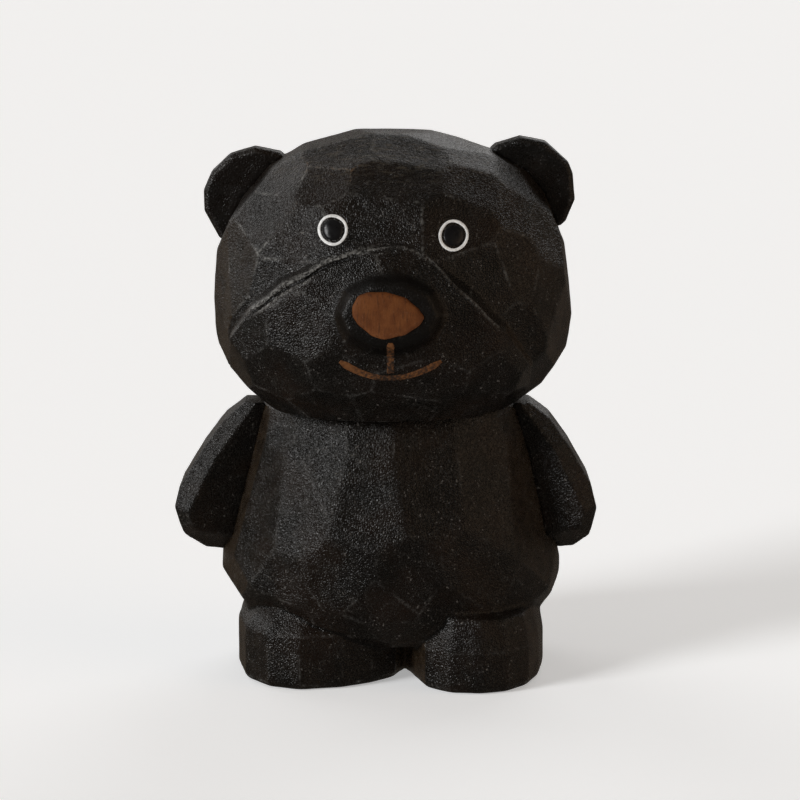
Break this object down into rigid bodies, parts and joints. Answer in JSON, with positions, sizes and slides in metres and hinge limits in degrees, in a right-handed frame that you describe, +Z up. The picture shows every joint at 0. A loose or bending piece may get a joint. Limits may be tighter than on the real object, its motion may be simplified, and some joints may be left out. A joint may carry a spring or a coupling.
{
  "type": "carved wooden figurine",
  "caption": "Standing bear figurine, knife-carved from wood and painted black, with round ears, a brown nose and a painted smile.",
  "frame": {"origin": "centre of the bounding box in plan, on the surface that the feet stand on", "axes": "+Z up, from the soles to the crown; the bear faces -Y, so its own left is +X"},
  "size_m": [0.0702, 0.0548, 0.09],
  "materials": {
    "black_paint": "satin black paint over carved wood",
    "brown_paint": "matt brown paint over wood grain",
    "mouth_paint": "matt ochre-brown brush stroke",
    "white_paint": "matt white line",
    "gloss_black": "gloss black drop",
    "dowel_wood": "bare turned wood"
  },
  "bodies": {
    "root": {"torso": "black_paint", "head": "black_paint", "ear_left": "black_paint", "ear_right": "black_paint", "arm_left": "black_paint", "arm_right": "black_paint", "nose": "brown_paint", "eye_ring_left": "white_paint", "eye_ring_right": "white_paint", "pupil_left": "gloss_black", "pupil_right": "gloss_black", "lip_stroke": "mouth_paint", "smile_stroke": "mouth_paint", "neck_dowel": "dowel_wood", "ear_dowel_left": "dowel_wood", "ear_dowel_right": "dowel_wood", "arm_dowel_left": "dowel_wood", "arm_dowel_right": "dowel_wood"}
  },
  "joints": []
}
